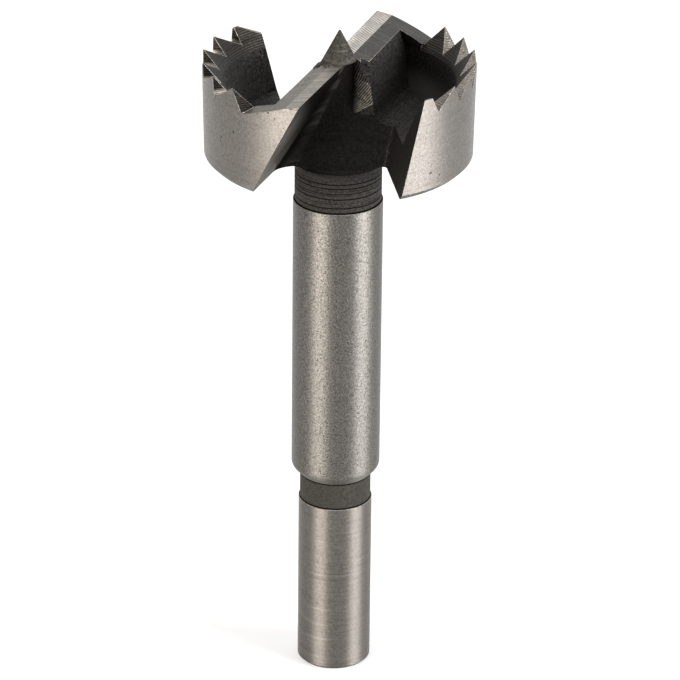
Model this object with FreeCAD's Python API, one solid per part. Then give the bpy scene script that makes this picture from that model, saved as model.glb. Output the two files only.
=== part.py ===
import FreeCAD, Part
import math
import os

# Forstner bit with a saw-tooth rim, one turned and milled piece of steel. Sizes in millimetres,
# angles in degrees. The bit's axis is Z, its shank end stands on z = 0 and the brad point is up.
# Seen from above it turns anticlockwise. Everything on the head is cut twice, half a turn apart.

# Shank, from the bottom up
chuck_diameter = 10.0        # turned-down end that the chuck grips
chuck_length = 24.8
chuck_chamfer = 0.35
relief_depth = 0.18          # relief groove, below the chuck end's surface
relief_length = 3.8
body_diameter = 12.0
body_length = 40.3           # includes the chamfer at its lower end
neck_diameter = 11.6
neck_length = 6.2
neck_root_groove = 0.12      # thin turned line where the neck meets the body
neck_fillet = 1.6            # where the neck meets the head's underside

# Head
head_diameter = 36.0         # over the tooth tips
head_height = 13.9           # underside to tooth tips
head_back_taper = 0.26       # loss of radius over the head's height
head_bottom_chamfer = 0.8

# Brad point
brad_height = 3.6            # above the tooth tips
brad_half_angle = 27.5
brad_tip_radius = 0.12
brad_flare_radius = 1.1      # hollow blend at the foot of the cone
brad_foot_below_edge = 1.1   # foot of the blend, below the cutting edges

# Cutting edges and their flanks
edge_azimuth = -110.3        # direction of the first cutting edge, outwards
edge_below_teeth = 0.45
edge_rise = (0.0, 0.8)       # of each edge towards the rim, off the level
edge_ahead_of_centre = 1.2
primary_flank_width = 2.0
primary_relief = (12.0, 9.0)
secondary_relief = (19.0, 17.0)
flank_overrun = 2.4          # how far the flanks run past the axis, under the brad point

# Throats: the rake face, the sloping floor and the end of the far wall
rake_angle = 27.5
floor_distance = 4.2         # floor to axis at the head's underside
floor_tilt = 12.0            # from the vertical, leaning back at the top
throat_floor_fillet = 3.4    # at the head's underside
throat_top_fillet = 0.8      # at the cutting edges
throat_end_fillet = 0.6
throat_runout = 0.5          # how far the throats run into the neck
end_face_distance = 5.57     # end face to axis at the head's underside
end_face_azimuth = -81.3     # direction of the end face, outwards
end_face_tilt = 13.0

# Pockets: what is milled out between a chipper's back and its wall
chipper_width = 3.9          # at the top, from cutting edge to back
chipper_back_angle = 21.0    # from the vertical
pocket_depth = 8.6           # below the tooth tips
pocket_corner_radius = 2.6
chipper_toe_distance = (-0.7, 2.55)  # at the top, from the axis to each chipper's inner end
chipper_toe_start = (1.7, 2.8)       # how far out from the axis each inner end is cut back
chipper_toe_angle = 38.5     # from the vertical
wall_thickness = 2.7         # below the inner bevel
wall_foot_thickness = 5.5    # at the pocket's bottom

# Gash that a thin wheel leaves at the inner end of each cutting edge
gash_ahead = 1.85            # bottom of the gash, beside the axis
gash_top_depth = (3.2, 0.3)  # below the throat's floor at the cutting edge, one for each throat
gash_depth = (3.9, 2.1)      # at half its length
gash_foot_depth = (2.9, 1.9)  # above its steep lower end
gash_length = 6.5            # down from the cutting edge
gash_end_length = 0.9        # of its steep lower end
gash_near_angle = 16.0       # of its side at the rake face
gash_far_angle = 49.0        # of its side away from the rake face

# Teeth, ground one wall at a time, so the two walls differ a little
first_tooth = (40.2, 38.9)   # leading tip of each wall, past its square to the throats
first_face_lean = (30.0, 32.0)         # of the first tooth's leading face, off the vertical
tooth_face_lean = (8.0, 28.0)          # of the other teeth's leading faces
tooth_pitch = (15.55, 14.65)           # as an angle
gullets = (5, 6)                       # whole gullets in each wall
first_gullet_depth = (3.0, 2.7)
last_gullet_depth = (2.3, 2.6)
open_end = (4.0, 0.0)        # how far each wall's last back slope runs on, past the wall's end
rim_bevel_angle = 50.0       # inner bevel, off the horizontal

# Heights worked out from the sizes above
relief_z = chuck_length
body_z = relief_z + relief_length
neck_z = body_z + body_length
head_z = neck_z + neck_length
teeth_z = head_z + head_height
brad_z = teeth_z + brad_height
edge_z = teeth_z - edge_below_teeth

head_radius = head_diameter / 2
wall_inner_radius = head_radius - wall_thickness
reach = head_radius * 1.5    # how far the cutters reach past the axis
above = brad_z + 2.0         # top of the cutters

UP = FreeCAD.Vector(0, 0, 1)
ORIGIN = FreeCAD.Vector(0, 0, 0)


def tan(angle):
    return math.tan(math.radians(angle))


def direction(azimuth):
    """Level unit vector at an azimuth, anticlockwise from +X."""
    a = math.radians(azimuth)
    return FreeCAD.Vector(math.cos(a), math.sin(a), 0)


def closed_face(points):
    return Part.Face(Part.makePolygon(list(points) + [points[0]]))


def revolved(profile, angle=360.0):
    """Turn a closed (radius, height) profile about the bit's axis."""
    face = closed_face([FreeCAD.Vector(r, 0, z) for r, z in profile])
    return face.revolve(ORIGIN, UP, angle)


def half_turn(shape):
    """The same shape on the other side of the axis."""
    turned = shape.copy()
    turned.rotate(ORIGIN, UP, 180)
    return turned


def swept_profile(profile, azimuth, start, end):
    """Extrude an (ahead, height) profile outwards along an azimuth, from start to end.

    Ahead is the level distance from the axis on the anticlockwise side of that azimuth.
    """
    out = direction(azimuth)
    side = direction(azimuth + 90)
    points = [side * a + out * start + UP * z for a, z in profile]
    return closed_face(points).extrude(out * (end - start))


# Turned blank
def blank():
    chuck_radius = chuck_diameter / 2
    body_radius = body_diameter / 2
    neck_radius = neck_diameter / 2
    relief_radius = chuck_radius - relief_depth
    lead_in = body_radius - relief_radius
    groove = neck_root_groove
    taper = head_back_taper * (head_height - head_bottom_chamfer) / head_height
    profile = [
        (0, 0),
        (chuck_radius - chuck_chamfer, 0),
        (chuck_radius, chuck_chamfer),
        (chuck_radius, relief_z),
        (relief_radius, relief_z),
        (relief_radius, body_z),
        (body_radius, body_z + lead_in),
        (body_radius, neck_z),
        (neck_radius - groove, neck_z),
        (neck_radius - groove, neck_z + groove),
        (neck_radius, neck_z + 2 * groove),
        (neck_radius, head_z),
        (head_radius - head_back_taper - head_bottom_chamfer, head_z),
        (head_radius - taper, head_z + head_bottom_chamfer),
        (head_radius, teeth_z),
        (0, teeth_z),
    ]
    turned = revolved(profile)
    corner = [e for e in turned.Edges if is_circle(e, neck_radius, head_z)]
    return turned.makeFillet(neck_fillet, corner)


def is_circle(edge, radius, z):
    centre = edge.BoundBox.Center
    return abs(edge.BoundBox.XMax - radius) < 1e-6 and abs(centre.z - z) < 1e-6 and edge.BoundBox.ZLength < 1e-6


# Throats
def rake_ahead(z):
    """How far ahead of the axis the rake face is at a height."""
    return edge_ahead_of_centre - tan(rake_angle) * (edge_z - z)


def line_crossing(p, u, q, v):
    """Where the level line through p along u meets the one through q along v."""
    w = q - p
    t = (w.x * v.y - w.y * v.x) / (u.x * v.y - u.y * v.x)
    return p + u * t


def rounded_corner(before, corner, after, radius):
    """Start, middle and end of the arc that rounds a corner."""
    a = (before - corner).normalize()
    b = (after - corner).normalize()
    half = a.getAngle(b) / 2
    middle = (a + b).normalize()
    centre = corner + middle * (radius / math.sin(half))
    reach_back = radius / math.tan(half)
    return corner + a * reach_back, centre - middle * radius, corner + b * reach_back


def throat_outline(z):
    """Level outline of the first throat at a height: rake face, floor and end face, corners rounded."""
    lift = UP * z
    rake_dir, end_dir = direction(edge_azimuth), direction(end_face_azimuth)
    rake_point = direction(edge_azimuth + 90) * rake_ahead(z)
    end_point = direction(end_face_azimuth + 90) * (end_face_distance + tan(end_face_tilt) * (z - head_z))
    floor_point = FreeCAD.Vector(0, floor_y(z), 0)
    floor_dir = FreeCAD.Vector(1, 0, 0)
    inner = line_crossing(rake_point, rake_dir, floor_point, floor_dir)
    far = line_crossing(end_point, end_dir, floor_point, floor_dir)
    rake_out, end_out = inner + rake_dir * 2 * reach, far + end_dir * 2 * reach
    share = (z - head_z) / (edge_z - head_z)
    fillet = throat_floor_fillet + (throat_top_fillet - throat_floor_fillet) * share
    a1, a2, a3 = rounded_corner(rake_out, inner, far, fillet)
    b1, b2, b3 = rounded_corner(inner, far, end_out, throat_end_fillet)
    edges = [
        Part.LineSegment(rake_out, a1), Part.Arc(a1, a2, a3),
        Part.LineSegment(a3, b1), Part.Arc(b1, b2, b3),
        Part.LineSegment(b3, end_out), Part.LineSegment(end_out, rake_out),
    ]
    wire = Part.Wire([e.toShape() for e in edges])
    wire.translate(lift)
    return wire


def throat():
    return Part.makeLoft([throat_outline(head_z - throat_runout), throat_outline(edge_z + 0.6)], True, True)


def floor_y(z):
    return -floor_distance + tan(floor_tilt) * (z - head_z)


def gash(wall):
    """V groove down the throat's floor beside the rake face, with a steep lower end."""
    front, top = 2.0, 0.6
    levels = [
        (-gash_length, 0.0), (gash_end_length - gash_length, gash_foot_depth[wall]),
        (-gash_length / 2, gash_depth[wall]), (0.0, gash_top_depth[wall]), (top, gash_top_depth[wall]),
    ]
    sections = []
    for level, depth in levels:
        z = edge_z + level
        y = floor_y(z) + depth
        near, far = (depth + front) * tan(gash_near_angle), (depth + front) * tan(gash_far_angle)
        sections.append(Part.makePolygon([
            FreeCAD.Vector(gash_ahead, y, z), FreeCAD.Vector(gash_ahead + far, y - depth - front, z),
            FreeCAD.Vector(gash_ahead - near, y - depth - front, z), FreeCAD.Vector(gash_ahead, y, z),
        ]))
    return Part.makeLoft(sections, True, True)


# Chipper flanks: a narrow ground land behind each edge, then a steeper one that runs to the first tooth
def first_tooth_side(wall, side):
    """Block ahead of (+1) or behind (-1) the leading face of a wall's first tooth, upright below its foot."""
    span, drop = 2 * reach, first_gullet_depth[wall]
    foot, low, bottom = drop * tan(first_face_lean[wall]), teeth_z - drop, teeth_z - 2 * drop
    profile = [
        (0, teeth_z), (foot, low), (foot, bottom), (side * span, bottom), (side * span, above), (0, above),
    ]
    return swept_profile(profile, first_tooth[wall] + 180, -reach, span)


def flanks(wall):
    land_end = edge_ahead_of_centre - primary_flank_width
    land_end_z = edge_z - primary_flank_width * tan(primary_relief[wall])
    front = edge_ahead_of_centre + wall_thickness

    def over_flanks(far):
        drop = (land_end - far) * tan(secondary_relief[wall])
        profile = [
            (front, edge_z), (edge_ahead_of_centre, edge_z), (land_end, land_end_z),
            (far, land_end_z - drop), (far, above), (front, above),
        ]
        cutter = swept_profile(profile, edge_azimuth, -flank_overrun, reach)
        cutter.rotate(UP * edge_z, direction(edge_azimuth + 90), -edge_rise[wall])
        return cutter

    ledge = over_flanks(land_end - 2 * reach).common(first_tooth_side(wall, 1))
    return ledge.fuse(over_flanks(edge_ahead_of_centre - chipper_width - 1.0))


# Pockets
def bevel_z(radius):
    """Height of the rim's inner bevel at a radius."""
    return teeth_z - (head_radius - radius) * tan(rim_bevel_angle)


def trough(ahead, angle, side):
    """Level-bottomed profile that leaves a bank leaning back from a line at the cutting edge's height.

    Side is +1 where the trough lies ahead of the line and -1 where it lies behind it.
    """
    bottom_z = teeth_z - pocket_depth
    top = ahead - side * tan(angle) * (above - edge_z)
    foot = ahead + side * tan(angle) * (edge_z - bottom_z)
    far = foot + side * 2 * reach
    arc = rounded_corner(
        FreeCAD.Vector(top, 0, above), FreeCAD.Vector(foot, 0, bottom_z),
        FreeCAD.Vector(far, 0, bottom_z), pocket_corner_radius)
    steps = Part.Arc(*arc).toShape().discretize(5)
    return [(top, above)] + [(p.x, p.z) for p in steps] + [(far, bottom_z), (far, above)]


def pocket(wall):
    bottom_z = teeth_z - pocket_depth
    behind = swept_profile(
        trough(edge_ahead_of_centre - chipper_width, chipper_back_angle, -1), edge_azimuth, -reach, reach)
    inside = swept_profile(
        trough(chipper_toe_distance[wall], chipper_toe_angle, -1), 180, chipper_toe_start[wall], reach)
    bore = revolved([
        (0, bottom_z), (head_radius - wall_foot_thickness, bottom_z),
        (wall_inner_radius, bevel_z(wall_inner_radius)), (wall_inner_radius, above), (0, above),
    ])
    return behind.fuse(inside).common(bore)


# Teeth of one wall
def rim_bevel(wall):
    """Inner bevel that makes the teeth pointed, from the first tooth to the wall's end."""
    foot = wall_inner_radius - 1.0
    ring = revolved([
        (foot, bevel_z(foot)), (head_radius, teeth_z),
        (head_radius + (above - teeth_z) / tan(rim_bevel_angle), above), (foot, above),
    ], (gullets[wall] + 2) * tooth_pitch[wall])
    ring.rotate(ORIGIN, UP, first_tooth[wall] + 180 - (gullets[wall] + 1) * tooth_pitch[wall])
    return ring.common(first_tooth_side(wall, -1))


def tooth_gullet(wall, number):
    """Notch between one tooth and the next one behind it, square to the leading face."""
    share = (number - 1) / (gullets[wall] - 1)
    depth = first_gullet_depth[wall] + (last_gullet_depth[wall] - first_gullet_depth[wall]) * share
    pitch_length = 2 * head_radius * math.sin(math.radians(tooth_pitch[wall] / 2))
    lean = depth * tan(tooth_face_lean[wall])
    back_slope = depth / (pitch_length - lean)
    top = pitch_length + (above - teeth_z) / back_slope
    profile = [(0, teeth_z), (lean, teeth_z - depth), (top, above), (0, above)]
    if number > gullets[wall]:
        profile = [(-open_end[wall], teeth_z - back_slope * (pitch_length + open_end[wall])),
                   (top, above), (-open_end[wall], above)]
    azimuth = first_tooth[wall] + 180 - number * tooth_pitch[wall]
    return swept_profile(profile, azimuth, head_radius * 0.6, reach)


def last_tooth_top(wall):
    """What is ground off the wall's last tooth, down to the height of the cutting edges."""
    ring = revolved([
        (head_radius * 0.6, edge_z), (reach, edge_z), (reach, above), (head_radius * 0.6, above),
    ], 1.5 * tooth_pitch[wall])
    ring.rotate(ORIGIN, UP, first_tooth[wall] + 180 - (gullets[wall] + 1) * tooth_pitch[wall])
    return ring


def teeth(wall):
    numbers = range(1, gullets[wall] + (2 if open_end[wall] else 1))
    return [rim_bevel(wall), last_tooth_top(wall)] + [tooth_gullet(wall, k) for k in numbers]


# Brad point
def brad_point():
    foot_z = edge_z - brad_foot_below_edge
    slope = tan(brad_half_angle)
    blend_z = foot_z + brad_flare_radius * (1 - math.sin(math.radians(brad_half_angle)))
    apex_z = brad_z + brad_tip_radius / slope
    cone_foot = (apex_z - blend_z) * slope
    steps = 4
    profile = [(0, brad_z), (brad_tip_radius, brad_z), (cone_foot, blend_z)]
    turn = 90 - brad_half_angle
    for k in range(1, steps + 1):
        a = math.radians(brad_half_angle + turn * k / steps)
        start = math.radians(brad_half_angle)
        profile.append((
            cone_foot + brad_flare_radius * (math.cos(start) - math.cos(a)),
            blend_z - brad_flare_radius * (math.sin(a) - math.sin(start)),
        ))
    edge_radius = profile[-1][0]
    profile += [(edge_radius, foot_z - 1.0), (0, foot_z - 1.0)]
    return revolved(profile)


def bit():
    body = blank()
    point = brad_point()
    below_edges = Part.makeCylinder(2 * reach, edge_z)
    for wall in (0, 1):
        cutters = [throat(), gash(wall), pocket(wall), flanks(wall)] + teeth(wall)
        if wall == 1:
            cutters = [half_turn(c) for c in cutters]
        for cutter in cutters:
            body = body.cut(cutter)
        for cutter in cutters[:3]:
            point = point.cut(cutter.common(below_edges))
    return body.fuse(point).removeSplitter()


os.makedirs("parts", exist_ok=True)
shape = bit()
shape.exportStep("parts/forstner_bit.step")
print("solids", len(shape.Solids), "valid", shape.isValid(), "volume", round(shape.Volume, 1))
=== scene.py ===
import logging
import math
from dataclasses import dataclass
from enum import Enum

import bmesh
import bpy
from bpy.types import ID, Material, Mesh, Node, NodeOutputs, NodeSocket, NodeTree, Object
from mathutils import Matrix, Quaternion, Vector


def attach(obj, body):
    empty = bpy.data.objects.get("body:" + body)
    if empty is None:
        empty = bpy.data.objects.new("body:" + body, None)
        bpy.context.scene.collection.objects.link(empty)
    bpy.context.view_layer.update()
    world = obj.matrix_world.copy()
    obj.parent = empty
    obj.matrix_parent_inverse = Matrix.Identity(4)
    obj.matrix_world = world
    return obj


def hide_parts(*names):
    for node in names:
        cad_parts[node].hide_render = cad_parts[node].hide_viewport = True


# Forstner bit with a saw-tooth rim, in hardened tool steel. Its blank is turned, its head is milled
# and left dark, and its cutting parts, rim and shank are ground bright. Sizes are in millimetres
# and angles in degrees. The bit's axis is Z, its shank end stands on the floor.

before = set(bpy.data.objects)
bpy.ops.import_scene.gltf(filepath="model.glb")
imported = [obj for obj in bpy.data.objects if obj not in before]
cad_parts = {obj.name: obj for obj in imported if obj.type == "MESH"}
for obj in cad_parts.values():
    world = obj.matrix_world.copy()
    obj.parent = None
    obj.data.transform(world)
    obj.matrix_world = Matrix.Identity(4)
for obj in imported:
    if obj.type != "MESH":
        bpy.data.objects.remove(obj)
log = logging.getLogger("forstner_bit")

MM = 0.001
Span = tuple[float, float]
ANYWHERE: Span = (-1e3, 1e3)
WHITE = (1, 1, 1, 1)
ON_AXIS = 1e-6
# The shank's chamfers are cut at this angle, so each is as high as it is deep.
CHAMFER_ANGLE = 45.0
# Whole numbers are compared with this to spare.
NUMBER_SLACK = 0.25
# A quarter turn, which stretches a highlight across the rings of a turned surface.
ACROSS_RINGS = 0.25

# A wave texture at this scale draws one line per unit of its space, and noise about one per two units.
# Real grinding and turning lines are 0.05 to 0.2 mm apart, too fine to show in the render, so they are
# drawn several times as coarse.
WAVE_SCALE = 0.314
NOISE_SCALE = 0.5
# Where clouds turn a finish from its colour to its shade, and how its roughness goes with them.
CLOUD_SPAN: Span = (0.3, 0.7)
ROUGHNESS_SPREAD: Span = (-0.05, 0.07)
# Where a speck thins out, as shares of its radius.
SPECK_EDGE: Span = (0.6, 1.1)


def add_node(tree: NodeTree, kind: str, inputs: dict[str | int, object] | None = None,
             **settings: object) -> Node:
    """Add a node to a tree, set it up and link it.

    Args:
        tree: the material's or the modifier's node tree.
        kind: the node's type name.
        inputs: for each input, by name or number, a value or the output socket that feeds it.
        settings: the node's own properties.

    Returns:
        The new node.
    """
    node = tree.nodes.new(kind)
    for name, value in settings.items():
        setattr(node, name, value)
    for key, value in (inputs or {}).items():
        if isinstance(value, NodeSocket):
            tree.links.new(value, node.inputs[key])
        else:
            node.inputs[key].default_value = value
    return node


def linear(hex_colour: str) -> tuple[float, float, float, float]:
    """Turn an sRGB hex colour into the linear colour that a shader takes.

    Args:
        hex_colour: six digits, such as "9A958E".

    Returns:
        Red, green, blue and an alpha of 1.
    """
    parts = [int(hex_colour[i:i + 2], 16) / 255 for i in (0, 2, 4)]
    curve = [c / 12.92 if c <= 0.04045 else ((c + 0.055) / 1.055) ** 2.4 for c in parts]
    return (*curve, 1.0)


def place_object(name: str, data: ID) -> Object:
    """Put a mesh, a light or a camera into the scene, at the origin.

    Args:
        name: what it is.
        data: the mesh, light or camera.

    Returns:
        The object.
    """
    made = bpy.data.objects.new(name, data)
    bpy.context.scene.collection.objects.link(made)
    return made


def stand_off(made: Object, height: float, azimuth: float, elevation: float, distance: float) -> None:
    """Stand a light or the camera off from a point on the bit's axis, facing it.

    Args:
        made: the light or the camera.
        height: the point's height.
        azimuth: its bearing from the point, anticlockwise from +X.
        elevation: its elevation from the point.
        distance: its distance from the point.
    """
    a, e = math.radians(azimuth), math.radians(elevation)
    towards = Vector((math.cos(e) * math.cos(a), math.cos(e) * math.sin(a), math.sin(e)))
    made.location = (Vector((0.0, 0.0, height)) + towards * distance) * MM
    made.rotation_mode = "QUATERNION"
    made.rotation_quaternion = towards.to_track_quat("Z", "Y")


def baked(piece: Object) -> Object:
    """Replace a piece's modifiers with the plain mesh that they give.

    Args:
        piece: an object with modifiers.

    Returns:
        The same object, with its final mesh and no modifier.
    """
    graph = bpy.context.evaluated_depsgraph_get()
    mesh = bpy.data.meshes.new_from_object(
        piece.evaluated_get(graph), preserve_all_data_layers=True, depsgraph=graph)
    piece.modifiers.clear()
    mesh.name = piece.name
    piece.data = mesh
    return piece


class Lay(Enum):
    """Which way marks run: round the bit's axis, or straight, across the direction given."""

    ROUND = None
    LAND = (-0.35, -0.94, 0.0)
    LAND_AGAIN = (-0.30, -0.95, 0.0)
    BACK_LAND = (0.79, 0.62, 0.0)
    BACK_LAND_AGAIN = (0.72, 0.69, 0.0)
    RAKE = (-0.13, 0.70, -0.70)
    THROAT = (0.0, 0.2, 0.98)
    GASH = (-0.54, 0.73, 0.41)
    GASH_STAINS = (0.4, 0.1, 0.9)
    TOOTH_FACE = (0.0, 0.5, 0.85)
    TOOTH_BACK = (0.0, 0.0, 1.0)


@dataclass(frozen=True)
class Marks:
    """Lines that a lathe tool, a milling cutter or a grinding wheel leaves.

    Coverage is where in the pattern, from 0 to 1, a line begins and is full. Where it runs downwards, the
    lines lie in the gaps of those that rise. With no climb, lines round the axis go by radius alone.
    """

    lay: Lay
    spacing: float
    length: float
    depth: float
    tone: str
    contrast: float
    coverage: Span = (0.5, 0.68)
    climb: float = 1.0
    even: bool = False

    def mask(self, tree: NodeTree, place: NodeSocket) -> NodeSocket:
        """Lay the lines out as a mask.

        Args:
            tree: the material's node tree.
            place: Object coordinates in millimetres.

        Returns:
            A value that is 1 on a line and 0 between lines.
        """
        if self.lay is Lay.ROUND:
            parts = add_node(tree, "ShaderNodeSeparateXYZ", {0: place})
            level = add_node(tree, "ShaderNodeVectorMath", {0: place, 1: (1, 1, 0)}, operation="MULTIPLY")
            radius = add_node(tree, "ShaderNodeVectorMath", {0: level.outputs[0]}, operation="LENGTH")
            station = add_node(tree, "ShaderNodeMath", {
                0: parts.outputs["Z"], 1: self.climb, 2: radius.outputs["Value"]}, operation="MULTIPLY_ADD")
            turned = add_node(tree, "ShaderNodeCombineXYZ", {
                "X": station.outputs[0], "Y": parts.outputs["X"], "Z": parts.outputs["Y"]}).outputs[0]
        else:
            turn = Vector(self.lay.value).rotation_difference(Vector((1, 0, 0))).to_euler()
            turned = add_node(tree, "ShaderNodeMapping", {"Vector": place, "Rotation": turn}).outputs[0]
        size = (1 / self.spacing, 1 / self.length, 1 / self.length)
        drawn = add_node(tree, "ShaderNodeVectorMath", {0: turned, 1: size}, operation="MULTIPLY").outputs[0]
        if self.even:
            lines = add_node(tree, "ShaderNodeTexWave", {
                "Vector": drawn, "Scale": WAVE_SCALE, "Distortion": 1.2, "Detail": 2.0, "Detail Scale": 3.0},
                bands_direction="X").outputs["Fac"]
        else:
            lines = add_node(tree, "ShaderNodeTexNoise", {
                "Vector": drawn, "Scale": NOISE_SCALE, "Detail": 2.5, "Roughness": 0.6}).outputs[0]
        return add_node(tree, "ShaderNodeMapRange", {
            "Value": lines, "From Min": self.coverage[0], "From Max": self.coverage[1]},
            interpolation_type="SMOOTHSTEP").outputs[0]


@dataclass(frozen=True)
class Specks:
    """Small pits (height below zero), or grains that stand out, scattered over a surface."""

    spacing: float
    size: float
    tone: str
    strength: float
    height: float

    def mask(self, tree: NodeTree, place: NodeSocket) -> NodeSocket:
        """Scatter the specks as a mask.

        Args:
            tree: the material's node tree.
            place: Object coordinates in millimetres.

        Returns:
            A value that is 1 on a speck and 0 beside it.
        """
        cells = add_node(tree, "ShaderNodeTexVoronoi", {"Vector": place, "Scale": 1 / self.spacing})
        chance = add_node(tree, "ShaderNodeSeparateColor", {0: cells.outputs["Color"]})
        reach = add_node(tree, "ShaderNodeMath", {
            0: chance.outputs[0], 1: 0.5 * self.size / self.spacing}, operation="MULTIPLY")
        edge = add_node(tree, "ShaderNodeMath", {
            0: cells.outputs["Distance"], 1: reach.outputs[0]}, operation="DIVIDE")
        return add_node(tree, "ShaderNodeMapRange", {
            "Value": edge.outputs[0], "From Min": SPECK_EDGE[0], "From Max": SPECK_EDGE[1],
            "To Min": self.strength, "To Max": 0.0}, interpolation_type="SMOOTHSTEP").outputs[0]


@dataclass(frozen=True)
class Fade:
    """A tone that covers a finish near the head's middle, or at the foot, and thins out along X or Z."""

    tone: str
    span: Span
    axis: str = "X"

    def mask(self, tree: NodeTree, place: NodeSocket) -> NodeSocket:
        """Say how much of the tone lies at each point.

        Args:
            tree: the material's node tree.
            place: Object coordinates in millimetres.

        Returns:
            The amount, from 1 at the start of the span down to 0 at its end.
        """
        side = add_node(tree, "ShaderNodeSeparateXYZ", {0: place}).outputs[self.axis]
        off = add_node(tree, "ShaderNodeMath", {0: side}, operation="ABSOLUTE").outputs[0]
        return add_node(tree, "ShaderNodeMapRange", {
            "Value": off, "From Min": self.span[0], "From Max": self.span[1], "To Min": 1.0, "To Max": 0.0},
            interpolation_type="SMOOTHSTEP").outputs[0]


@dataclass(frozen=True)
class Steel:
    """One finish of the tool steel: two tones in clouds of a size, and the marks of how it was made."""

    name: str
    colour: str
    shade: str
    cloud: float
    roughness: float
    marks: tuple[Marks, ...] = ()
    specks: tuple[Specks, ...] = ()
    anisotropy: float = 0.0
    grain: float = 0.0
    fade: Fade | None = None

    def material(self) -> Material:
        """Build the finish as a material that reads Object coordinates.

        Returns:
            The material, made once and found by its name after that.
        """
        known = bpy.data.materials.get(self.name)
        if known:
            return known
        made = bpy.data.materials.new(self.name)
        made.use_nodes = True
        tree = made.node_tree
        tree.nodes.clear()
        where = add_node(tree, "ShaderNodeTexCoord").outputs["Object"]
        place = add_node(tree, "ShaderNodeMapping", {"Vector": where, "Scale": (1 / MM,) * 3}).outputs[0]
        clouds = add_node(tree, "ShaderNodeTexNoise", {
            "Vector": place, "Scale": 1 / self.cloud, "Detail": 4.0, "Roughness": 0.65})
        share = add_node(tree, "ShaderNodeMapRange", {
            "Value": clouds.outputs[0], "From Min": CLOUD_SPAN[0], "From Max": CLOUD_SPAN[1]}).outputs[0]
        colour = add_node(tree, "ShaderNodeMix", {
            "Factor": share, 6: linear(self.colour), 7: linear(self.shade)}, data_type="RGBA").outputs[2]
        height = add_node(tree, "ShaderNodeMath", {
            0: clouds.outputs[0], 1: self.grain}, operation="MULTIPLY").outputs[0]
        for layer, rise in [(m, -m.depth) for m in self.marks] + [(s, s.height) for s in self.specks]:
            mask = layer.mask(tree, place)
            amount = mask
            if isinstance(layer, Marks):
                amount = add_node(tree, "ShaderNodeMath", {
                    0: mask, 1: layer.contrast}, operation="MULTIPLY").outputs[0]
            colour = add_node(tree, "ShaderNodeMix", {
                "Factor": amount, 6: colour, 7: linear(layer.tone)}, data_type="RGBA").outputs[2]
            height = add_node(tree, "ShaderNodeMath", {
                0: mask, 1: rise, 2: height}, operation="MULTIPLY_ADD").outputs[0]
        if self.fade:
            amount = self.fade.mask(tree, place)
            colour = add_node(tree, "ShaderNodeMix", {
                "Factor": amount, 6: colour, 7: linear(self.fade.tone)}, data_type="RGBA").outputs[2]
        rough = add_node(tree, "ShaderNodeMapRange", {
            "Value": share, "To Min": self.roughness + ROUGHNESS_SPREAD[0],
            "To Max": self.roughness + ROUGHNESS_SPREAD[1]}).outputs[0]
        bump = add_node(tree, "ShaderNodeBump", {"Height": height, "Distance": MM, "Strength": 1.0})
        skin = add_node(tree, "ShaderNodeBsdfPrincipled", {
            "Base Color": colour, "Roughness": rough, "Metallic": 1.0, "Normal": bump.outputs[0],
            "Anisotropic": self.anisotropy, "Anisotropic Rotation": ACROSS_RINGS})
        if self.anisotropy:
            lay = add_node(tree, "ShaderNodeTangent", direction_type="RADIAL", axis="Z")
            tree.links.new(lay.outputs[0], skin.inputs["Tangent"])
        add_node(tree, "ShaderNodeOutputMaterial", {"Surface": skin.outputs[0]})
        return made


def wheel_lines(tone: str, contrast: float, lay: Lay, spacing: float = 0.3) -> Marks:
    """Long lines of a grinding wheel, drawn several times as coarse so that they show."""
    return Marks(lay, spacing, length=9.0, depth=0.01, tone=tone, contrast=contrast, coverage=(0.46, 0.66))


def feed_lines(tone: str, contrast: float, coverage: Span, lay: Lay, spacing: float) -> Marks:
    """Even, short lines, one for each step of a cutter's or a wheel's feed, drawn coarser too."""
    return Marks(
        lay, spacing, length=0.8, depth=0.02, tone=tone, contrast=contrast, coverage=coverage, even=True)


TOOTH_STREAKS = feed_lines("57524C", 0.25, (0.6, 0.95), Lay.TOOTH_FACE, 0.24)


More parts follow.
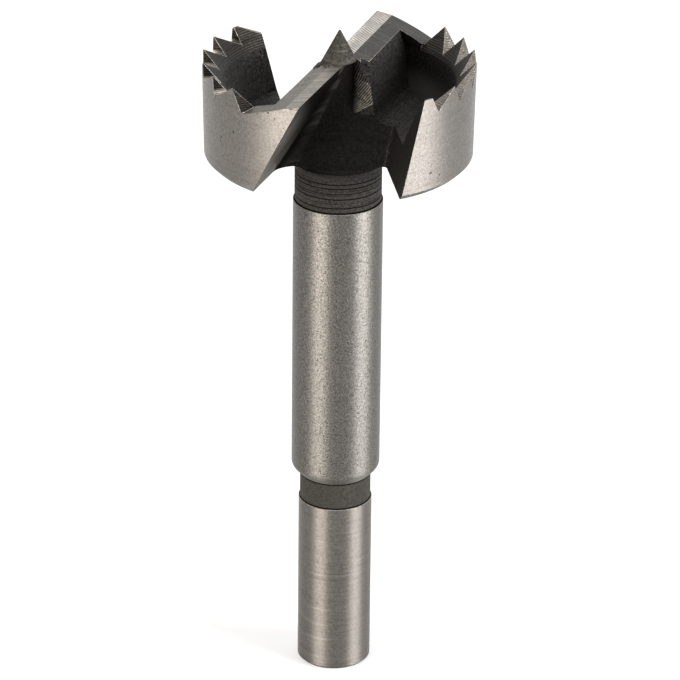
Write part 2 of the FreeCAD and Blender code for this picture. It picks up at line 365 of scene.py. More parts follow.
class Finish(Enum):
    """The finishes of the steel, each with how it was made and what that gives the eye."""

    # Ground between centres: clean, satin, faint rings, with small dark pits where scale stayed.
    WALL = Steel(
        "ground_rim_steel", "7F7B76", "5E5A56", 0.3, 0.43,
        marks=(Marks(Lay.ROUND, 0.16, 5.0, 0.003, "565350", 0.25),),
        specks=(Specks(1.5, 0.45, "2E2B29", 0.85, -0.03), Specks(0.5, 0.22, "3E3B38", 0.6, -0.02)),
        anisotropy=0.7, grain=0.02)
    # The body was ground over a pitted skin: the same satin with an even, fine grain.
    BODY = Steel(
        "ground_body_steel", "7D7A75", "3D3B38", 0.22, 0.43,
        marks=(Marks(Lay.ROUND, 0.18, 8.0, 0.002, "4A4743", 0.12),),
        specks=(Specks(1.9, 0.4, "262422", 0.8, -0.03), Specks(0.5, 0.26, "302D2A", 0.7, -0.03)),
        anisotropy=0.8, grain=0.02)
    # The chuck end was ground last and finest: smooth satin with thin rings, some bright, some dark.
    SHANK = Steel(
        "ground_shank_steel", "736F6A", "595551", 0.3, 0.42,
        marks=(Marks(Lay.ROUND, 0.18, 8.0, 0.003, "4C4945", 0.3),
               Marks(Lay.ROUND, 0.3, 5.0, 0.002, "8A867F", 0.3, (0.6, 0.72))),
        specks=(Specks(2.2, 0.4, "2E2B29", 0.8, -0.03), Specks(0.6, 0.22, "413E3B", 0.5, -0.015)),
        anisotropy=0.8, grain=0.015)
    # Turned and left: a dull, dark hardening skin with fine feed rings.
    NECK = Steel(
        "turned_neck_steel", "484643", "232120", 0.25, 0.85,
        marks=(Marks(Lay.ROUND, 0.14, 12.0, 0.015, "121111", 0.7),), grain=0.04)
    # Painted shade, black: the bottom of a deep tool groove, where no light gets in, and thin bands of
    # painted shadow where a shoulder shades the relief groove's ends and the neck's root.
    PAINTED_SHADE = Steel("painted_shade_steel", "161514", "0E0D0D", 0.6, 0.85)
    # The relief groove has the same skin, without rings: plain dark grey, a few pale grains.
    RELIEF = Steel(
        "turned_relief_steel", "474541", "373532", 0.3, 0.85,
        specks=(Specks(0.9, 0.3, "5A5752", 0.5, 0.01),))
    # Turned clean to break an edge: a half-bright ring with darker tool lines.
    CHAMFER = Steel(
        "turned_chamfer_steel", "55524E", "403D3A", 1.4, 0.42,
        marks=(Marks(Lay.ROUND, 0.25, 9.0, 0.01, "2E2B29", 0.5),), anisotropy=0.5)
    # Faced off under the head: dark, with wide rings.
    UNDERSIDE = Steel(
        "turned_underside_steel", "4A4744", "353230", 2.0, 0.5,
        marks=(Marks(Lay.ROUND, 0.4, 14.0, 0.02, "232120", 0.6),), anisotropy=0.3)
    # Ground lands behind the cutting edges: bright, with fine lines across the land.
    FRONT_LAND = Steel(
        "ground_front_land_steel", "8F8981", "6B665F", 0.35, 0.43,
        marks=(wheel_lines("B5B0A7", 0.5, Lay.LAND), wheel_lines("5E5A54", 0.45, Lay.LAND_AGAIN, 0.37)),
        specks=(Specks(0.6, 0.2, "5C5751", 0.6, -0.02),), grain=0.02)
    # The back one was ground in short strokes, finely hatched, and is painted paler, as light, because it
    # leans towards the light.
    BACK_LAND = Steel(
        "ground_back_land_steel_and_painted_light", "A09B94", "86817A", 0.4, 0.43,
        marks=(feed_lines("DEDAD3", 0.6, (0.5, 0.95), Lay.BACK_LAND, 0.5),
               feed_lines("4A4641", 0.45, (0.45, 0.05), Lay.BACK_LAND_AGAIN, 0.46)),
        specks=(Specks(0.6, 0.2, "5C5751", 0.7, -0.02),))
    # Ground once with a coarse wheel: even grey with a faint haze.
    FRONT_FLANK = Steel(
        "ground_front_flank_steel", "7B766F", "4C4944", 0.3, 0.45,
        marks=(wheel_lines("8E8A84", 0.3, Lay.LAND, 0.4),),
        specks=(Specks(0.6, 0.24, "3C3936", 0.6, -0.02),), grain=0.02)
    # The back one is painted dark, as shade for looking away from the lamps, and its haze hardly shows.
    SHADED_BACK_FLANK = Steel(
        "painted_shade_back_flank_steel", "484643", "3A3836", 0.6, 0.47,
        marks=(wheel_lines("6E6B67", 0.15, Lay.LAND, 0.4),),
        specks=(Specks(1.1, 0.22, "2E2B29", 0.7, -0.02),), grain=0.02)
    # Turned inside the rim before the teeth were cut: dark, with rings that follow the rim.
    BEVEL = Steel(
        "turned_bevel_steel", "2F2D2A", "211F1D", 0.5, 0.47,
        marks=(Marks(Lay.ROUND, 0.22, 3.0, 0.015, "6B655E", 0.28, (0.6, 0.95), climb=0.0, even=True),
               Marks(Lay.ROUND, 0.17, 9.0, 0.015, "131211", 0.6, (0.52, 0.66))),
        specks=(Specks(0.5, 0.2, "6A6560", 0.5, 0.02),), anisotropy=0.4)
    # Cut by the edge of a thin wheel: dark and streaked, with a painted reflection that makes it bright at
    # the foot.
    TOOTH_FACE = Steel(
        "ground_tooth_face_steel_and_painted_reflection", "191816", "0C0B0B", 0.4, 0.45,
        # Painted reflection: a bright tone at the foot, thinning out above it.
        marks=(TOOTH_STREAKS,), fade=Fade("9A948C", (86.6, 87.3), "Z"))
    # The leading face at the end of each wall was milled with the throat: dark all over.
    LEAD_FACE = Steel(
        "milled_lead_face_steel", "191816", "0C0B0B", 0.4, 0.5, marks=(TOOTH_STREAKS,))
    # Ground by the same wheel along the tooth: bright, grained, with dark lines at the wheel's feed.
    TOOTH_BACK = Steel(
        "ground_tooth_back_steel", "958F89", "4E4842", 0.22, 0.42,
        marks=(feed_lines("2C2521", 0.5, (0.55, 0.95), Lay.TOOTH_BACK, 0.24),),
        specks=(Specks(0.5, 0.3, "2A2623", 0.6, -0.02),), grain=0.03)
    # Ground to an edge: bright, with long lines that rise towards the axis, and painted shade that darkens
    # it near the axis.
    RAKE = Steel(
        "ground_rake_steel_and_painted_shade", "726D67", "57534E", 0.5, 0.44,
        marks=(wheel_lines("A8A39B", 0.55, Lay.RAKE), wheel_lines("24221F", 0.6, Lay.RAKE, 0.4)),
        # Painted shade: a near-black tone near the axis, thinning out away from it.
        fade=Fade("1C1B19", (3.2, 7.0)))
    # Milled before hardening: a near-black skin over the tool's tracks.
    CORNER = Steel(
        "milled_corner_steel", "1F1E1C", "161514", 0.8, 0.5,
        marks=(wheel_lines("3B3835", 0.6, Lay.RAKE, 0.4), wheel_lines("0C0B0B", 0.7, Lay.RAKE, 0.6)))
    # The throat's floor was cut with the mill's end: as dark, rough, with faint tracks across it.
    THROAT = Steel(
        "milled_throat_steel", "1E1D1C", "0E0D0D", 0.3, 0.55,
        marks=(Marks(Lay.THROAT, 0.3, 6.0, 0.01, "0A0A0A", 0.4, (0.5, 0.7)),), grain=0.06)
    # The side of the same cut, rubbed cleaner by the cutter's side: dark grey.
    END_FACE = Steel("milled_end_face_steel", "3D3B38", "262422", 0.3, 0.48, grain=0.06)
    # Cut through the skin with a small mill: bare, brownish, ridged at each step, with painted shade that
    # darkens it towards the axis and pale specks painted as glints.
    GASH = Steel(
        "milled_gash_steel_and_painted_light", "AFA59A", "5E564F", 0.35, 0.42,
        marks=(feed_lines("14110E", 0.75, (0.5, 0.85), Lay.GASH, 0.36),
               feed_lines("D6D0C8", 0.5, (0.2, 0.02), Lay.GASH, 0.36),
               Marks(Lay.GASH_STAINS, 0.6, 2.0, 0.0, "1C1815", 0.6, (0.5, 0.7))),
        # Painted glints: pale raised specks.
        specks=(Specks(0.42, 0.3, "DAD4CA", 0.7, 0.02),),
        # Painted shade: a dark tone towards the axis.
        grain=0.04, fade=Fade("2B2622", (1.6, 3.0)))
    # The gash's other side kept its skin: dark brown, with the mill's tracks.
    GASH_SIDE = Steel(
        "milled_gash_side_steel", "1F1C19", "12100F", 0.4, 0.5,
        marks=(feed_lines("0C0B0A", 0.6, (0.5, 0.9), Lay.GASH, 0.36),))
    # Milled deep and never cleaned: rough, nearly black, with raised grains painted pale as glints.
    POCKET = Steel(
        "milled_pocket_steel_and_painted_glints", "3E3C3A", "070606", 0.34, 0.58,
        # The pale raised grains are painted glints; the black ones are pits.
        specks=(Specks(0.6, 0.24, "6E6B67", 0.5, 0.03), Specks(0.5, 0.4, "050505", 0.9, -0.06)),
        grain=0.15)
    # Its far side is a copy painted blacker as shade in the deep recess, and lighter towards the foot.
    SHADED_POCKET = Steel(
        "painted_shade_pocket_steel", "1E1C1B", "030303", 0.34, 0.6,
        specks=(Specks(0.5, 0.36, "040404", 0.9, -0.06),),
        grain=0.15, fade=Fade("3B3936", (81.0, 84.2), "Z"))
    # Ground to a point: dull, dark, with arcs that follow the cone.
    BRAD = Steel(
        "ground_brad_steel", "484642", "292725", 0.3, 0.8,
        marks=(Marks(Lay.ROUND, 0.15, 3.0, 0.01, "625F5B", 0.5),
               Marks(Lay.ROUND, 0.3, 3.0, 0.015, "201E1D", 0.6, (0.56, 0.7))),
        specks=(Specks(0.7, 0.35, "161514", 0.8, -0.03),))
    # Where two ground faces meet, the edge is worn bright.
    EDGE = Steel("worn_edge_steel", "A6A19A", "524E4A", 0.3, 0.47)


# Edges beside these finishes are broken, most of all on the teeth and lands, and catch the light.
# Edges between milled faces stay sharp.
TOOTH = (Finish.TOOTH_FACE, Finish.TOOTH_BACK, Finish.LEAD_FACE)
LANDS = (Finish.FRONT_LAND, Finish.BACK_LAND)
GROUND = (*TOOTH, *LANDS, Finish.FRONT_FLANK, Finish.SHADED_BACK_FLANK, Finish.WALL, Finish.BEVEL,
          Finish.CHAMFER, Finish.RAKE)


@dataclass(frozen=True)
class Patch:
    """A group of the head's faces that has one finish, told by where they face and where they are.

    Elevation and azimuth are the normal's, with the azimuth up to spread off. Radius and height are the
    middle's. Outward runs from -1, looking at the axis, to 1, away from it. A turned patch takes the same
    faces half a turn on as well.
    """

    finish: Finish
    elevation: Span = (-90.0, 90.0)
    azimuth: float | None = None
    spread: float = 4.0
    radius: Span = ANYWHERE
    height: Span = ANYWHERE
    outward: Span = ANYWHERE
    turned: bool = True

    def holds(self, face: bmesh.types.BMFace) -> bool:
        """Say whether a face belongs to the patch.

        Args:
            face: a face of the head.

        Returns:
            True if it faces the right way, from the right place.
        """
        centre = face.calc_center_median() / MM
        normal = face.normal
        elevation = math.degrees(math.asin(max(-1.0, min(1.0, normal.z))))
        if not self.elevation[0] <= elevation <= self.elevation[1]:
            return False
        radius = math.hypot(centre.x, centre.y)
        if not self.radius[0] <= radius <= self.radius[1]:
            return False
        if not self.height[0] <= centre.z <= self.height[1]:
            return False
        outward = (normal.x * centre.x + normal.y * centre.y) / max(radius, ON_AXIS)
        if not self.outward[0] <= outward <= self.outward[1]:
            return False
        if self.azimuth is None:
            return True
        off = (math.degrees(math.atan2(normal.y, normal.x)) - self.azimuth) % 360
        off = min(off, 360 - off)
        return off <= self.spread or (self.turned and abs(180 - off) <= self.spread)


# The azimuths that the lands of the front and the back cutter face. Each rake face looks the other way.
FRONT = 159.7
BACK = -20.3
# Bands that several patches share. A face that looks along the rim looks hardly out or in.
RIM: Span = (17.4, 18.1)
TOOTH_RADIUS: Span = (14.8, 18.1)
TOOTH_HEIGHT: Span = (85.0, 90.0)
TOP_HEIGHT: Span = (84.0, 90.0)
FLANK_HEIGHT: Span = (82.0, 90.0)
GASH_RADIUS: Span = (0.0, 7.5)
GASH_HEIGHT: Span = (81.5, 88.6)
POINT_RADIUS: Span = (0.0, 3.2)
ALONG: Span = (-0.35, 0.35)


@dataclass
class MilledHead:
    """The head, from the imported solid: welded, cut off in the neck, edges broken, finishes laid on."""

    seam_height: float = 73.3
    weld_within: float = 0.001
    cut_within: float = 0.0005
    flat_within: float = 0.6
    crease_above: float = 22.0
    edge_break: float = 0.05
    soft_edge: float = 0.4
    # The first patch that holds a face gives its finish, so special ones come before general ones.
    patches: tuple[Patch, ...] = (
        # Turned and ground on the outside.
        Patch(Finish.NECK, height=(0.0, 75.05)),
        Patch(Finish.UNDERSIDE, (-90.0, -80.0)),
        Patch(Finish.CHAMFER, (-75.0, -20.0), radius=(16.8, 18.1), height=(75.0, 76.0)),
        Patch(Finish.WALL, (-6.0, 6.0), radius=RIM, outward=(0.97, 1.01)),
        # The cutters: relief behind each edge, rake in front of it, and the throat before that.
        Patch(Finish.FRONT_LAND, (76.0, 80.0), FRONT, height=TOP_HEIGHT, turned=False),
        Patch(Finish.BACK_LAND, (79.0, 83.0), BACK, 10.0, height=TOP_HEIGHT, turned=False),
        Patch(Finish.FRONT_FLANK, (69.0, 73.0), FRONT, height=FLANK_HEIGHT, turned=False),
        Patch(Finish.SHADED_BACK_FLANK, (71.0, 75.0), BACK, 8.0, height=FLANK_HEIGHT, turned=False),
        Patch(Finish.RAKE, (-30.0, -25.0), BACK),
        Patch(Finish.END_FACE, (10.0, 16.0), 8.7),
        Patch(Finish.THROAT, (9.0, 15.0), -90.0),
        Patch(Finish.THROAT, (9.0, 18.0), -115.0, 26.0, height=(74.0, 81.0)),
        # The toothed walls.
        Patch(Finish.BEVEL, (35.0, 45.0), radius=(13.0, 18.1), outward=(-1.0, -0.5)),
        Patch(Finish.TOOTH_BACK, (45.0, 85.0), radius=(14.0, 18.1), height=TOP_HEIGHT),
        Patch(Finish.LEAD_FACE, (25.0, 34.0), radius=TOOTH_RADIUS, height=TOOTH_HEIGHT, outward=ALONG),
        Patch(Finish.TOOTH_FACE, (-5.0, 25.0), radius=TOOTH_RADIUS, height=TOOTH_HEIGHT, outward=ALONG),
        # The brad point, and the gashes and corners beside it.
        Patch(Finish.BRAD, (20.0, 35.0), radius=POINT_RADIUS, height=(88.2, 93.0)),
        Patch(Finish.GASH, (-40.0, 75.0), -131.0, 28.0, radius=GASH_RADIUS, height=GASH_HEIGHT),
        Patch(Finish.GASH, (30.0, 50.0), -90.0, 12.0, radius=GASH_RADIUS, height=(80.5, 84.0)),
        Patch(Finish.GASH_SIDE, (-20.0, 60.0), -16.0, 20.0, radius=GASH_RADIUS, height=GASH_HEIGHT),
        Patch(Finish.THROAT, (-10.0, 15.0), -70.0, 25.0, radius=POINT_RADIUS, height=(87.0, 88.7)),
        Patch(Finish.BRAD, radius=POINT_RADIUS, height=(87.2, 93.0)),
        Patch(Finish.CORNER, (-30.0, 12.0), -55.0, 40.0, radius=(0.0, 12.0), height=(74.0, 88.7)),
        # The rest: the pockets behind the cutters.
        # The far pocket takes the copy painted darker as shade.
        Patch(Finish.SHADED_POCKET, (-30.0, 70.0), -135.0, 75.0, radius=(11.0, 18.0), turned=False),
        Patch(Finish.POCKET),
    )

    def mesh(self, node: Object) -> Mesh:
        """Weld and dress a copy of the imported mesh.

        Args:
            node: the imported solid, which stays as it is.

        Returns:
            A closed mesh of the head down to the seam in the neck.
        """
        shape = bmesh.new()
        shape.from_mesh(node.data)
        bmesh.ops.remove_doubles(shape, verts=shape.verts, dist=self.weld_within * MM)
        everything = shape.verts[:] + shape.edges[:] + shape.faces[:]
        cut = bmesh.ops.bisect_plane(
            shape, geom=everything, dist=self.cut_within * MM, plane_co=(0, 0, self.seam_height * MM),
            plane_no=(0, 0, -1), clear_outer=True)
        rim = [e for e in cut["geom_cut"] if isinstance(e, bmesh.types.BMEdge)]
        bmesh.ops.contextual_create(shape, geom=rim)
        bmesh.ops.dissolve_limit(
            shape, angle_limit=math.radians(self.flat_within), verts=shape.verts, edges=shape.edges)
        bmesh.ops.recalc_face_normals(shape, faces=shape.faces)
        finishes = self.finishes()
        for face in shape.faces:
            face.material_index = finishes.index(next(p.finish for p in self.patches if p.holds(face)))
            face.smooth = True
        weight = shape.edges.layers.float.new("bevel_weight_edge")
        for edge in shape.edges:
            edge.smooth = edge.calc_face_angle(0.0) < math.radians(self.crease_above)
            beside = {finishes[face.material_index] for face in edge.link_faces}
            edge[weight] = 0.0 if edge.smooth else self.wear(beside)
        mesh = bpy.data.meshes.new("bit_head")
        shape.to_mesh(mesh)
        shape.free()
        for finish in finishes:
            mesh.materials.append(finish.value.material())
        return mesh

    def wear(self, beside: set[Finish]) -> float:
        """Say how far an edge is worn.

        Args:
            beside: the finishes of the faces that meet there.

        Returns:
            The share of the full break: 1 at teeth and cutting edges, 0 between milled faces.
        """
        if beside.intersection(TOOTH) and Finish.WALL not in beside:
            return 1.0
        if beside.intersection(LANDS) and Finish.RAKE in beside:
            return 1.0
        return self.soft_edge if beside.intersection(GROUND) else 0.0

    def finishes(self) -> list[Finish]:
        """The head's finishes, in the order of its material slots."""
        return list(dict.fromkeys([p.finish for p in self.patches] + [Finish.EDGE]))

    def build(self, node: Object) -> Object:
        """Make the head and break its edges.

        Args:
            node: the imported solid.

        Returns:
            The head as an object.
        """
        head = place_object("bit_head", self.mesh(node))
        bevel = head.modifiers.new("broken edges", "BEVEL")
        bevel.width = self.edge_break * MM
        bevel.segments = 1
        bevel.limit_method = "WEIGHT"
        bevel.use_clamp_overlap = False
        bevel.material = self.finishes().index(Finish.EDGE)
        bevel.harden_normals = True
        return baked(head)


@dataclass(frozen=True)
class Station:
    """A point of the shank's turned outline and the finish of the run above it."""

    radius: float
    height: float
    finish: Finish
    grooved: bool = False


@dataclass
class TurnedShank:
    """The shank: chuck end, relief groove, body and grooved neck, turned about the axis as one piece."""

    chuck_radius: float = 5.0
    chuck_chamfer: float = 0.35
    chuck_length: float = 24.8
    relief_radius: float = 4.82
    body_start: float = 28.6
    body_radius: float = 6.0
    body_end: float = 68.9
    neck_radius: float = 5.8
    neck_root: float = 0.12
    neck_end: float = 73.4
    inside_head: float = 74.2
    inside_radius: float = 5.5
    groove_pitch: float = 0.7
    groove_depth: float = 0.09
    groove_step: float = 0.05
    # Height of the bands of painted shadow at both ends of the relief groove.
    shadow_line: float = 0.18
    # Shares of the pitch or the depth: how deep a groove is, where it lies, half its width, and how deep
    # it has to be to take the painted shade.
    groove_cut: Span = (0.25, 1.0)
    groove_place: Span = (0.32, 0.68)
    groove_half: float = 1 / 6
    shade_above: float = 0.25
    edge_break: float = 0.06
    edge_round: float = 0.4
    shoulder_rise: float = 0.01
    blend_radius: float = 1.3
    blend_steps: int = 6
    steps_round: int = 160
    crease_above: float = 12.0
    weld_within: float = 0.0005
    seed: int = 7
    place_seed: float = 5.0

    def outline(self) -> list[Station]:
        """The outline from the bottom of the axis to its top, inside the head.

        Returns:
            The stations, closely spaced where the neck is grooved.
        """
        lead_in = self.body_radius - self.relief_radius
        chuck, neck = self.chuck_radius, self.neck_radius
        small, rise = self.edge_break, self.shoulder_rise
        rounded = small * self.edge_round
        line = [
            Station(0.0, 0.0, Finish.SHANK),
            Station(chuck - self.chuck_chamfer - small, 0.0, Finish.CHAMFER),
            Station(chuck - self.chuck_chamfer, rounded, Finish.CHAMFER),
            Station(chuck - rounded, self.chuck_chamfer, Finish.CHAMFER),
            Station(chuck, self.chuck_chamfer + small, Finish.SHANK),
            Station(chuck, self.chuck_length - small, Finish.EDGE),
            # Black bands here and at the body's end are painted shadow where the shoulders shade the turned
            # surface.
            Station(chuck - small, self.chuck_length, Finish.PAINTED_SHADE),
            Station(self.relief_radius, self.chuck_length + rise, Finish.PAINTED_SHADE),
            Station(self.relief_radius, self.chuck_length + self.shadow_line, Finish.RELIEF),
            Station(self.relief_radius, self.body_start - self.shadow_line, Finish.PAINTED_SHADE),
            Station(self.relief_radius, self.body_start, Finish.EDGE),
            Station(self.relief_radius + small, self.body_start + small, Finish.BODY),
            *self.blend(self.body_start + lead_in),
            Station(self.body_radius, self.body_end - small, Finish.EDGE),
            Station(self.body_radius - small, self.body_end, Finish.PAINTED_SHADE),
            Station(neck - self.neck_root, self.body_end + rise, Finish.PAINTED_SHADE),
            Station(neck - self.neck_root, self.body_end + self.neck_root, Finish.NECK),
        ]
        start = self.body_end + 2 * self.neck_root
        count = round((self.neck_end - start) / self.groove_step)
        line += [Station(neck, start + (self.neck_end - start) * k / count, Finish.NECK, 0 < k < count)
                 for k in range(count + 1)]
        line += [Station(self.inside_radius, self.neck_end + rise, Finish.NECK),
                 Station(self.inside_radius, self.inside_head, Finish.NECK),
                 Station(0.0, self.inside_head, Finish.NECK)]
        return line

    def blend(self, corner: float) -> list[Station]:
        """Round the corner between the body's chamfer and its ground surface, as the belt left it.

        Args:
            corner: the height at which the two would meet in a sharp edge.

        Returns:
            The stations of the arc, from the chamfer up.
        """
        reach = self.blend_radius * math.tan(math.radians(CHAMFER_ANGLE / 2))
        angles = [CHAMFER_ANGLE * k / self.blend_steps for k in range(self.blend_steps, -1, -1)]
        return [Station(self.body_radius - self.blend_radius * (1 - math.cos(a)),
                        corner + reach - self.blend_radius * math.sin(a), Finish.BODY)
                for a in map(math.radians, angles)]

    def outline_mesh(self, finishes: list[Finish]) -> Mesh:
        """Draw the outline as a chain of edges that carries each station's finish and grooving.

        Args:
            finishes: the shank's finishes, in the order of its material slots.

        Returns:
            The chain, radius along X and height along Z.
        """
        line = self.outline()
        mesh = bpy.data.meshes.new("shank_outline")
        mesh.from_pydata([(s.radius * MM, 0.0, s.height * MM) for s in line],
                         [(k, k + 1) for k in range(len(line) - 1)], [])
        for name, values in (("finish", [float(finishes.index(s.finish)) for s in line]),
                             ("grooved", [float(s.grooved) for s in line])):
            mesh.attributes.new(name, "FLOAT", "POINT").data.foreach_set("value", values)
        return mesh

    def grooving(self, tree: NodeTree, given: NodeOutputs, height: NodeSocket) -> NodeSocket:
        """Draw one groove in each pitch, at random in depth and place.

        Args:
            tree: the modifier's node tree.
            given: the tree's inputs.
            height: the height of a point.

        Returns:
            How deep the groove is there, as a share of the full depth.
        """
        turns = add_node(tree, "ShaderNodeMath", {
            0: height, 1: given["Groove Pitch"]}, operation="DIVIDE").outputs[0]
        number, within = (
            add_node(tree, "ShaderNodeMath", {0: turns}, operation=part).outputs[0]
            for part in ("FLOOR", "FRACT"))
        other = add_node(tree, "ShaderNodeMath", {
            0: given["Seed"], 1: self.place_seed}, operation="ADD").outputs[0]
        depth, middle = (
            add_node(tree, "FunctionNodeRandomValue", {
                "Min": low, "Max": high, "ID": number, "Seed": seed}, data_type="FLOAT").outputs[1]
            for (low, high), seed in ((self.groove_cut, given["Seed"]), (self.groove_place, other)))
        off = add_node(tree, "ShaderNodeMath", {0: within, 1: middle}, operation="SUBTRACT").outputs[0]
        away = add_node(tree, "ShaderNodeMath", {0: off}, operation="ABSOLUTE").outputs[0]
        notch = add_node(tree, "ShaderNodeMapRange", {
            "Value": away, "From Max": self.groove_half, "To Min": 1.0, "To Max": 0.0}).outputs[0]
        return add_node(tree, "ShaderNodeMath", {0: notch, 1: depth}, operation="MULTIPLY").outputs[0]

    def tree(self, finishes: list[Finish]) -> NodeTree:
        """Build the nodes that turn an outline about the axis and cut the neck's grooves.

        Args:
            finishes: the shank's finishes, in the order of its material slots.

        Returns:
            The node tree, with its sizes as named inputs.
        """
        tree = bpy.data.node_groups.new("turned_about_axis", "GeometryNodeTree")
        for name, kind in (("Outline", "Geometry"), ("Steps Round", "Int"), ("Groove Pitch", "Float"),
                           ("Groove Depth", "Float"), ("Seed", "Int")):
            tree.interface.new_socket(name, in_out="INPUT", socket_type=f"NodeSocket{kind}")
        tree.interface.new_socket("Turned", in_out="OUTPUT", socket_type="NodeSocketGeometry")
        given = add_node(tree, "NodeGroupInput").outputs

        # A grid with one column for each step round the axis and one row for each station.
        count = add_node(tree, "GeometryNodeAttributeDomainSize", {
            0: given["Outline"]}).outputs["Point Count"]
        columns = add_node(tree, "ShaderNodeMath", {
            0: given["Steps Round"], 1: 1.0}, operation="ADD").outputs[0]
        grid = add_node(tree, "GeometryNodeMeshGrid", {"Vertices X": columns, "Vertices Y": count})
        index = add_node(tree, "GeometryNodeInputIndex").outputs[0]
        row = add_node(tree, "ShaderNodeMath", {0: index, 1: count}, operation="MODULO").outputs[0]
        angle = index
        for step, value in (("SUBTRACT", row), ("DIVIDE", count), ("DIVIDE", given["Steps Round"]),
                            ("MULTIPLY", math.tau)):
            angle = add_node(tree, "ShaderNodeMath", {0: angle, 1: value}, operation=step).outputs[0]

        # Where each point goes: its station's radius, less the groove, turned by its column's angle.
        position = add_node(tree, "GeometryNodeInputPosition").outputs[0]
        marked, numbered, deep = (
            add_node(tree, "GeometryNodeInputNamedAttribute", {"Name": name}, data_type="FLOAT").outputs[0]
            for name in ("grooved", "finish", "groove"))
        station, allowed = (
            add_node(tree, "GeometryNodeSampleIndex", {
                "Geometry": given["Outline"], "Value": value, "Index": row}, data_type=kind).outputs[0]
            for value, kind in ((position, "FLOAT_VECTOR"), (marked, "FLOAT")))
        place = add_node(tree, "ShaderNodeSeparateXYZ", {0: station}).outputs
        groove = add_node(tree, "ShaderNodeMath", {
            0: self.grooving(tree, given, place["Z"]), 1: allowed}, operation="MULTIPLY").outputs[0]
        cut = add_node(tree, "ShaderNodeMath", {
            0: groove, 1: given["Groove Depth"]}, operation="MULTIPLY").outputs[0]
        radius = add_node(tree, "ShaderNodeMath", {0: place["X"], 1: cut}, operation="SUBTRACT").outputs[0]
        arm = add_node(tree, "ShaderNodeCombineXYZ", {"X": radius, "Z": place["Z"]}).outputs[0]
        around = add_node(tree, "ShaderNodeVectorRotate", {
            "Vector": arm, "Angle": angle}, rotation_type="Z_AXIS").outputs[0]

        # The number of each face's finish: its lower station's, or the next one in a deep groove, which on
        # the neck is the painted shade.
        cuts = add_node(tree, "GeometryNodeStoreNamedAttribute", {
            "Geometry": grid.outputs["Mesh"], "Name": "groove", "Value": groove},
            data_type="FLOAT", domain="POINT").outputs[0]
        runs = add_node(tree, "ShaderNodeMath", {0: count, 1: 1.0}, operation="SUBTRACT").outputs[0]
        run = add_node(tree, "ShaderNodeMath", {0: index, 1: runs}, operation="MODULO").outputs[0]
        plain = add_node(tree, "GeometryNodeSampleIndex", {
            "Geometry": given["Outline"], "Value": numbered, "Index": run},
            data_type="FLOAT").outputs[0]
        # A deep groove's bottom gets the painted shade.
        black = add_node(tree, "ShaderNodeMath", {
            0: deep, 1: self.shade_above}, operation="GREATER_THAN").outputs[0]
        number = add_node(tree, "ShaderNodeMath", {0: plain, 1: black}, operation="ADD").outputs[0]
        kept = add_node(tree, "GeometryNodeStoreNamedAttribute", {
            "Geometry": cuts, "Name": "finish", "Value": number},
            data_type="FLOAT", domain="FACE").outputs[0]

        placed = add_node(tree, "GeometryNodeSetPosition", {
            "Geometry": kept, "Position": around}).outputs[0]
        closed = add_node(tree, "GeometryNodeMergeByDistance", {
            "Geometry": placed, "Distance": self.weld_within * MM}).outputs[0]
        smooth = add_node(tree, "GeometryNodeSetShadeSmooth", {
            "Geometry": closed}, domain="FACE").outputs[0]
        bend = add_node(tree, "GeometryNodeInputMeshEdgeAngle").outputs["Unsigned Angle"]
        sharp = add_node(tree, "FunctionNodeCompare", {
            0: bend, 1: math.radians(self.crease_above)}, data_type="FLOAT",
            operation="GREATER_THAN").outputs[0]
        creased = add_node(tree, "GeometryNodeSetShadeSmooth", {
            "Geometry": smooth, "Selection": sharp, "Shade Smooth": False}, domain="EDGE").outputs[0]
        real = add_node(tree, "GeometryNodeRealizeInstances", {"Geometry": creased}).outputs[0]
        # Each finish covers its own number and all above it, so the last one laid on stays.
        for slot, finish in enumerate(finishes):
            covered = add_node(tree, "FunctionNodeCompare", {
                0: numbered, 1: slot - NUMBER_SLACK}, data_type="FLOAT", operation="GREATER_THAN").outputs[0]
            real = add_node(tree, "GeometryNodeSetMaterial", {
                "Geometry": real, "Selection": covered, "Material": finish.value.material()}).outputs[0]
        add_node(tree, "NodeGroupOutput", {"Turned": real})
        return tree

    def build(self) -> Object:
        """Turn the shank.

        Returns:
            The shank, a closed mesh.
        """
        # The black finish of painted shade comes right after NECK: where a groove is deep, a face takes the
        # finish after its own.
        finishes = [Finish.SHANK, Finish.BODY, Finish.CHAMFER, Finish.RELIEF, Finish.NECK, Finish.PAINTED_SHADE,
                    Finish.EDGE]
        shank = place_object("bit_shank", self.outline_mesh(finishes))
        turning = shank.modifiers.new("turning", "NODES")
        tree = self.tree(finishes)
        turning.node_group = tree
        sizes = {"Steps Round": self.steps_round, "Groove Pitch": self.groove_pitch * MM,
                 "Groove Depth": self.groove_depth * MM, "Seed": self.seed}
        for item in tree.interface.items_tree:
            if item.name in sizes:
                turning[item.identifier] = sizes[item.name]
        return baked(shank)


@dataclass(frozen=True)
class Softbox:
    """An area light: where it hangs, seen from the bit, its width and height, and its power in watts."""

    name: str
    azimuth: float
    elevation: float
    distance: float
    size: Span
    power: float
    colour: str = "FFFFFF"

    def build(self, aim_height: float) -> None:
        """Hang the light.

        Args:
            aim_height: the height of the point on the bit's axis that it faces.
        """
        light = bpy.data.lights.new(self.name, "AREA")
        light.color = linear(self.colour)[:3]
        light.shape = "RECTANGLE"
        light.size, light.size_y = self.size[0] * MM, self.size[1] * MM
        light.energy = self.power
        placed = place_object(self.name, light)
        stand_off(placed, aim_height, self.azimuth, self.elevation, self.distance)
        placed.visible_camera = False


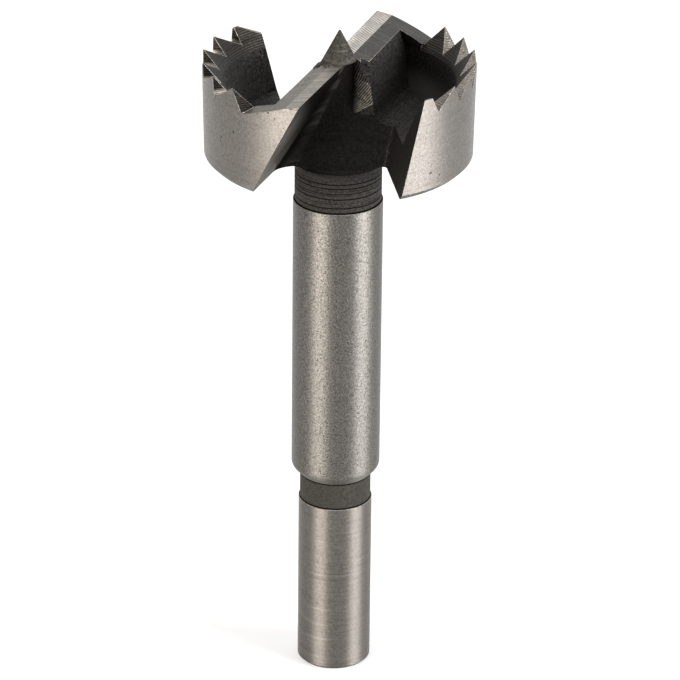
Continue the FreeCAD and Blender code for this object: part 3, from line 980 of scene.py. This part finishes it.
@dataclass
class Studio:
    """Plain white floor, a pale surround, a soft light overhead and one wide softbox on each side."""

    floor_half: float = 6000.0
    floor_colour: str = "B0B0B0"
    glow: float = 0.42
    far_glow: float = 0.8
    far: Span = (400.0, 1500.0)
    surround_light: float = 0.6
    surround_seen: float = 1.0
    aim_height: float = 50.0
    softboxes: tuple[Softbox, ...] = (
        Softbox("overhead softbox", 80.0, 68.0, 900.0, (700.0, 700.0), 3.0),
        Softbox("left softbox", -134.0, 12.5, 1500.0, (900.0, 660.0), 49.0, "FFF9F0"),
        Softbox("right softbox", -23.0, 12.5, 1500.0, (900.0, 660.0), 58.8),
    )

    def white_seen(self, tree: NodeTree) -> NodeSocket:
        """Tell what is seen from what only lights the bit.

        Args:
            tree: a material's or the world's node tree.

        Returns:
            A value that is 1 for what the camera sees, straight, mirrored or through glass.
        """
        path = add_node(tree, "ShaderNodeLightPath").outputs
        mirrored = add_node(tree, "ShaderNodeMath", {
            0: path["Is Camera Ray"], 1: path["Is Glossy Ray"]}, operation="MAXIMUM").outputs[0]
        return add_node(tree, "ShaderNodeMath", {
            0: mirrored, 1: path["Is Transmission Ray"]}, operation="MAXIMUM").outputs[0]

    def floor(self) -> None:
        """Lay the floor, which glows a little to the eye so that it is white and keeps the bit's shadow.

        Far from the bit, where the lamps don't reach, it glows more, so that no horizon shows.
        """
        half = self.floor_half * MM
        mesh = bpy.data.meshes.new("floor")
        mesh.from_pydata(
            [(-half, -half, 0), (half, -half, 0), (half, half, 0), (-half, half, 0)], [], [(0, 1, 2, 3)])
        board = bpy.data.materials.new("white_board")
        board.use_nodes = True
        tree = board.node_tree
        tree.nodes.clear()
        where = add_node(tree, "ShaderNodeTexCoord").outputs["Object"]
        reach = add_node(tree, "ShaderNodeVectorMath", {0: where}, operation="LENGTH").outputs["Value"]
        glow = add_node(tree, "ShaderNodeMapRange", {
            "Value": reach, "From Min": self.far[0] * MM, "From Max": self.far[1] * MM,
            "To Min": self.glow, "To Max": self.far_glow}).outputs[0]
        strength = add_node(tree, "ShaderNodeMath", {
            0: self.white_seen(tree), 1: glow}, operation="MULTIPLY").outputs[0]
        light = add_node(tree, "ShaderNodeEmission", {"Color": WHITE, "Strength": strength}).outputs[0]
        matt = add_node(tree, "ShaderNodeBsdfDiffuse", {"Color": linear(self.floor_colour)}).outputs[0]
        both = add_node(tree, "ShaderNodeAddShader", {0: light, 1: matt}).outputs[0]
        add_node(tree, "ShaderNodeOutputMaterial", {"Surface": both})
        mesh.materials.append(board)
        place_object("floor", mesh)

    def surround(self) -> None:
        """Fill the world with plain light that looks white and lights the bit a little less."""
        world = bpy.data.worlds.new("pale surround")
        world.use_nodes = True
        tree = world.node_tree
        tree.nodes.clear()
        strength = add_node(tree, "ShaderNodeMapRange", {
            "Value": self.white_seen(tree), "To Min": self.surround_light,
            "To Max": self.surround_seen}).outputs[0]
        light = add_node(tree, "ShaderNodeBackground", {"Color": WHITE, "Strength": strength}).outputs[0]
        add_node(tree, "ShaderNodeOutputWorld", {"Surface": light})
        bpy.context.scene.world = world

    def build(self) -> None:
        """Set up floor, surround and lights."""
        self.floor()
        self.surround()
        for softbox in self.softboxes:
            softbox.build(self.aim_height)


@dataclass
class Viewpoint:
    """The photograph's camera: how far, how high and how it is turned."""

    focal_length: float = 228.073
    sensor: float = 36.0
    nearest: float = 10.0
    distance: float = 579.915
    azimuth: float = -90.0
    elevation: float = 25.076
    aim_height: float = 48.173
    roll: float = 0.583
    shift: Span = (0.004906, -0.001487)

    def build(self) -> None:
        """Place the camera and make it the scene's."""
        data = bpy.data.cameras.new("photograph")
        data.lens = self.focal_length
        data.sensor_width = self.sensor
        data.shift_x, data.shift_y = self.shift
        data.clip_start = self.nearest * MM
        camera = place_object("photograph", data)
        stand_off(camera, self.aim_height, self.azimuth, self.elevation, self.distance)
        camera.rotation_quaternion @= Quaternion((0, 0, 1), math.radians(self.roll))
        bpy.context.scene.camera = camera


def hand_over(piece: Object, replaced: str | None = None) -> None:
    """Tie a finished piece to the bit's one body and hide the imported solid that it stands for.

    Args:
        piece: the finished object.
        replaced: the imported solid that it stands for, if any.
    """
    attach(piece, "root")
    if replaced:
        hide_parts(replaced)
    log.info("%s: %d faces", piece.name, len(piece.data.polygons))


def main() -> None:
    """Build the bit, its studio and its camera."""
    logging.basicConfig(level=logging.INFO, format="%(name)s: %(message)s")
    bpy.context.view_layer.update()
    bpy.context.scene.view_settings.view_transform = "Standard"
    Viewpoint().build()
    Studio().build()
    hand_over(MilledHead().build(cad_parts["forstner_bit"]), "forstner_bit")
    hand_over(TurnedShank().build())


if __name__ == "__main__":
    main()
